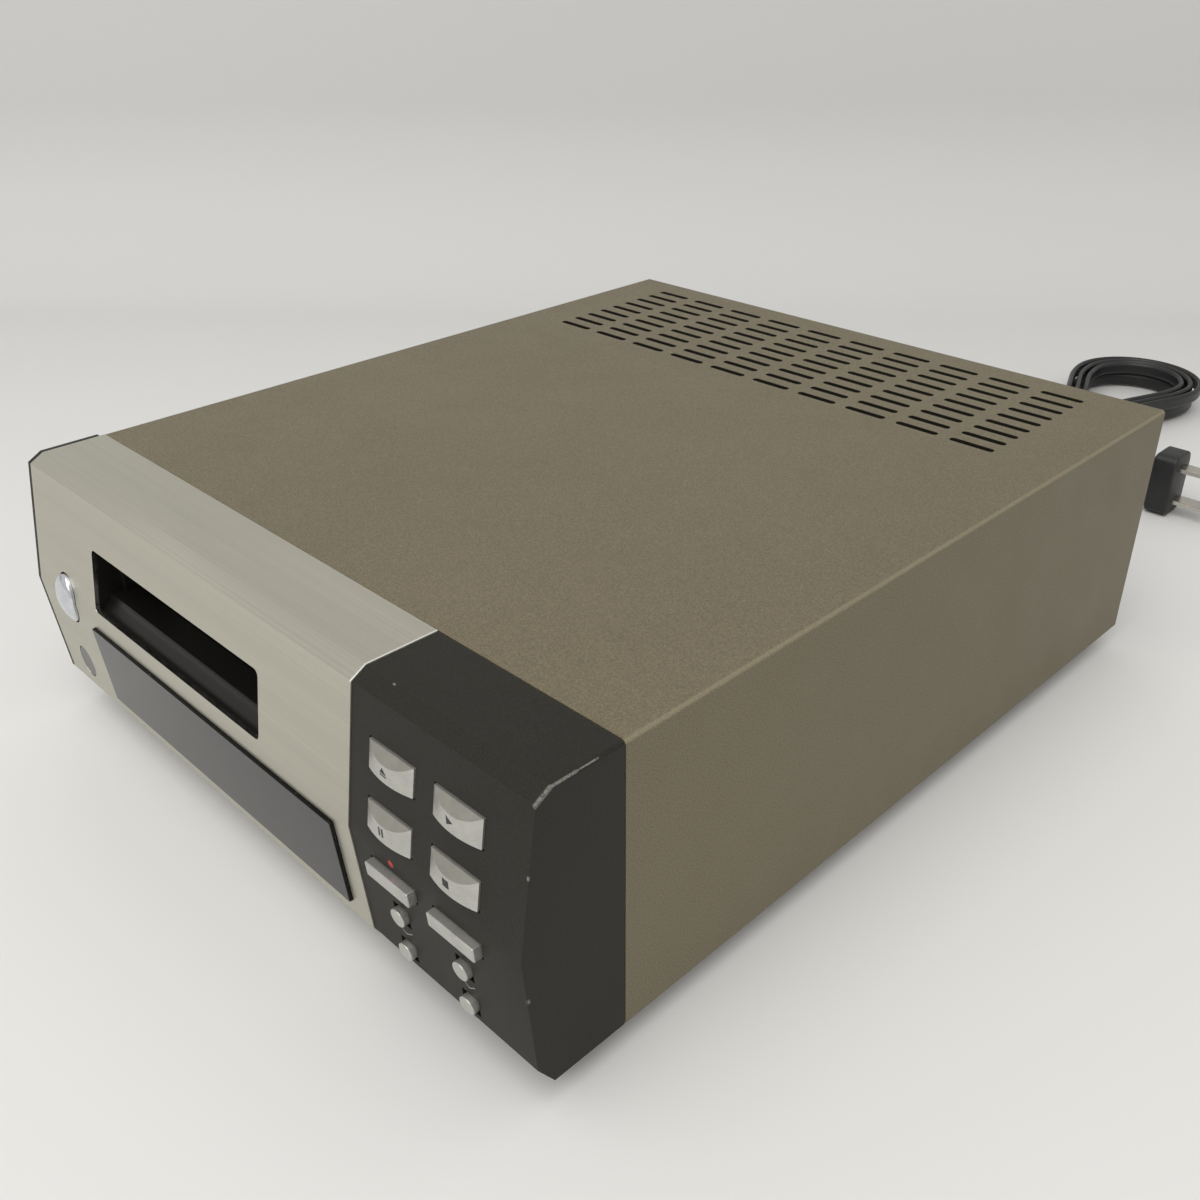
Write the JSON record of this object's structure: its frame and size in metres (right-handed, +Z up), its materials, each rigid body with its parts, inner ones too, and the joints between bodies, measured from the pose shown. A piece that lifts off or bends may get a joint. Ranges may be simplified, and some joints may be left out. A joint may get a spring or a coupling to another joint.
{
  "type": "minidisc deck",
  "caption": "Compact slot-loading minidisc deck with a silver and charcoal front, a vented bronze steel cover and a mains cord.",
  "frame": {"origin": "centre of the deck's bounding box without its cord, on the surface under its feet", "axes": "+X to the right seen from the front, +Y from the front panel to the rear, +Z up"},
  "size_m": [0.2, 0.4815, 0.0775],
  "materials": {
    "bronze_steel": "satin bronze metallic paint with a fine texture",
    "galvanised_steel": "plain galvanised sheet",
    "rear_steel": "matt dark grey paint",
    "charcoal_plastic": "fine-grained satin, dark bronze grey",
    "brushed_fascia": "brushed along its length, champagne silver anodised",
    "smoked_window": "gloss, smoked and see-through",
    "display_glass": "dark vacuum tube glass",
    "dark_lens": "gloss, dark infrared window",
    "black_plastic": "satin black moulding",
    "gloss_black": "gloss black moulding",
    "satin_button": "satin silver plating on plastic",
    "chrome_button": "bright plating",
    "spring_steel": "bright",
    "circuit_board": "green solder mask",
    "chip_plastic": "matt black epoxy",
    "capacitor_sleeve": "blue sleeve",
    "plain_aluminium": "mill finish",
    "core_steel": "varnished laminations",
    "coil_tape": "yellow tape",
    "damper_rubber": "soft, matt",
    "foot_rubber": "matt",
    "white_nylon": "natural nylon",
    "brass_gear": "machined",
    "pickup_metal": "dark die casting",
    "jack_plating": "gold-coloured plating on the collars",
    "flat_cable": "white flat cable",
    "dark_screw": "black oxide",
    "bright_screw": "zinc plated",
    "cord_vinyl": "satin black vinyl",
    "tie_plastic": "plain black",
    "plug_vinyl": "satin black vinyl",
    "blade_nickel": "nickel plated brass"
  },
  "bodies": {
    "deck": {"chassis_tray": "galvanised_steel", "top_cover": "bronze_steel", "rear_panel": "rear_steel", "front_base": "charcoal_plastic", "silver_fascia": "brushed_fascia", "display_window": "smoked_window", "display_tube": "display_glass", "display_board": "circuit_board", "remote_window": "dark_lens", "remote_sensor": "chip_plastic", "slot_bezel": "black_plastic", "door_spring": "spring_steel", "key_board": "circuit_board", "key_switches": "chip_plastic", "main_board": "circuit_board", "chips": "chip_plastic", "capacitors": "capacitor_sleeve", "heat_sink": "plain_aluminium", "transformer_core": "core_steel", "transformer_coil": "coil_tape", "drive_brackets": "galvanised_steel", "drive_dampers": "damper_rubber", "drive_base": "galvanised_steel", "loading_motor": "spring_steel", "spindle_motor": "galvanised_steel", "guide_rods": "spring_steel", "sled_motor": "spring_steel", "line_jacks": "jack_plating", "optical_jacks": "black_plastic", "control_jack": "black_plastic", "ribbon_cable": "flat_cable", "feet": "foot_rubber", "cover_screws": "dark_screw", "fixing_screws": "bright_screw", "cord_bushing": "cord_vinyl", "mains_cord": "cord_vinyl", "cord_hank": "cord_vinyl", "cord_tie": "tie_plastic", "plug_body": "plug_vinyl", "plug_blades": "blade_nickel"},
    "power_button_body": {"power_button": "chrome_button"},
    "eject_button_body": {"eject_button": "satin_button"},
    "pause_button_body": {"pause_button": "satin_button"},
    "play_button_body": {"play_button": "satin_button"},
    "stop_button_body": {"stop_button": "satin_button"},
    "record_button_body": {"record_button": "satin_button"},
    "mode_button_body": {"mode_button": "satin_button"},
    "upper_left_dot_button_body": {"upper_left_dot_button": "satin_button"},
    "lower_left_dot_button_body": {"lower_left_dot_button": "satin_button"},
    "upper_right_dot_button_body": {"upper_right_dot_button": "satin_button"},
    "lower_right_dot_button_body": {"lower_right_dot_button": "satin_button"},
    "slot_door_body": {"slot_door": "gloss_black"},
    "disc_holder_body": {"disc_holder": "spring_steel"},
    "cam_slide_body": {"cam_slide": "white_nylon"},
    "loading_pinion_body": {"loading_pinion": "brass_gear"},
    "loading_wheel_body": {"loading_wheel": "white_nylon"},
    "turntable_body": {"turntable": "spring_steel"},
    "optical_pickup_body": {"optical_pickup": "pickup_metal"},
    "sled_pinion_body": {"sled_pinion": "brass_gear"},
    "head_arm_body": {"head_arm": "spring_steel"}
  },
  "joints": [
    {"name": "power_press", "type": "slide", "parent": "deck", "child": "power_button_body", "axis": [0, 1, 0], "range_m": [0, 0.0008], "stiffness_N_per_m": 400, "springref_m": -0.0006},
    {"name": "eject_press", "type": "slide", "parent": "deck", "child": "eject_button_body", "axis": [0, 1, 0], "range_m": [0, 0.0008], "stiffness_N_per_m": 400, "springref_m": -0.0006},
    {"name": "pause_press", "type": "slide", "parent": "deck", "child": "pause_button_body", "axis": [0, 1, 0], "range_m": [0, 0.0008], "stiffness_N_per_m": 400, "springref_m": -0.0006},
    {"name": "play_press", "type": "slide", "parent": "deck", "child": "play_button_body", "axis": [0, 1, 0], "range_m": [0, 0.0008], "stiffness_N_per_m": 400, "springref_m": -0.0006},
    {"name": "stop_press", "type": "slide", "parent": "deck", "child": "stop_button_body", "axis": [0, 1, 0], "range_m": [0, 0.0008], "stiffness_N_per_m": 400, "springref_m": -0.0006},
    {"name": "record_press", "type": "slide", "parent": "deck", "child": "record_button_body", "axis": [0, 1, 0], "range_m": [0, 0.0008], "stiffness_N_per_m": 400, "springref_m": -0.0006},
    {"name": "mode_press", "type": "slide", "parent": "deck", "child": "mode_button_body", "axis": [0, 1, 0], "range_m": [0, 0.0008], "stiffness_N_per_m": 400, "springref_m": -0.0006},
    {"name": "upper_left_dot_press", "type": "slide", "parent": "deck", "child": "upper_left_dot_button_body", "axis": [0, 1, 0], "range_m": [0, 0.0008], "stiffness_N_per_m": 400, "springref_m": -0.0006},
    {"name": "lower_left_dot_press", "type": "slide", "parent": "deck", "child": "lower_left_dot_button_body", "axis": [0, 1, 0], "range_m": [0, 0.0008], "stiffness_N_per_m": 400, "springref_m": -0.0006},
    {"name": "upper_right_dot_press", "type": "slide", "parent": "deck", "child": "upper_right_dot_button_body", "axis": [0, 1, 0], "range_m": [0, 0.0008], "stiffness_N_per_m": 400, "springref_m": -0.0006},
    {"name": "lower_right_dot_press", "type": "slide", "parent": "deck", "child": "lower_right_dot_button_body", "axis": [0, 1, 0], "range_m": [0, 0.0008], "stiffness_N_per_m": 400, "springref_m": -0.0006},
    {"name": "door_swing", "type": "hinge", "parent": "deck", "child": "slot_door_body", "pos_m": [-0.025, -0.1119, 0.061], "axis": [1, 0, 0], "range_deg": [0, 80], "stiffness_Nm_per_rad": 0.0006, "springref_deg": -17.19},
    {"name": "cam_shift", "type": "slide", "parent": "deck", "child": "cam_slide_body", "axis": [0, 1, 0], "range_m": [0, 0.012]},
    {"name": "holder_sink", "type": "slide", "parent": "deck", "child": "disc_holder_body", "axis": [0, 0, -1], "range_m": [0, 0.0055]},
    {"name": "loading_wheel_turn", "type": "hinge", "parent": "deck", "child": "loading_wheel_body", "pos_m": [-0.07348, -0.0684, 0.0385], "axis": [0, 0, 1], "range_deg": [0, 164.2]},
    {"name": "loading_pinion_turn", "type": "hinge", "parent": "deck", "child": "loading_pinion_body", "pos_m": [-0.07853, -0.05451, 0.0385], "axis": [0, 0, 1], "range_deg": [-410.3, 0]},
    {"name": "disc_spin", "type": "hinge", "parent": "deck", "child": "turntable_body", "pos_m": [-0.025, -0.0564, 0.044], "axis": [0, 0, 1], "continuous": true},
    {"name": "sled_shift", "type": "slide", "parent": "deck", "child": "optical_pickup_body", "axis": [0, 1, 0], "range_m": [0, 0.015]},
    {"name": "sled_pinion_turn", "type": "hinge", "parent": "deck", "child": "sled_pinion_body", "pos_m": [0.00318, -0.0219, 0.04], "axis": [0, 0, 1], "range_deg": [-205.1, 0]},
    {"name": "head_lift", "type": "hinge", "parent": "optical_pickup_body", "child": "head_arm_body", "pos_m": [-0.025, -0.0119, 0.057], "axis": [1, 0, 0], "range_deg": [0, 11]}
  ],
  "couplings": [
    {"joint": "holder_sink", "follows": "cam_shift", "ratio": 0.45833},
    {"joint": "loading_wheel_turn", "follows": "cam_shift", "rad_per_m": 238.1},
    {"joint": "loading_pinion_turn", "follows": "cam_shift", "rad_per_m": -595.24},
    {"joint": "head_lift", "follows": "cam_shift", "rad_per_m": 15.999},
    {"joint": "sled_pinion_turn", "follows": "sled_shift", "rad_per_m": -238.1}
  ]
}
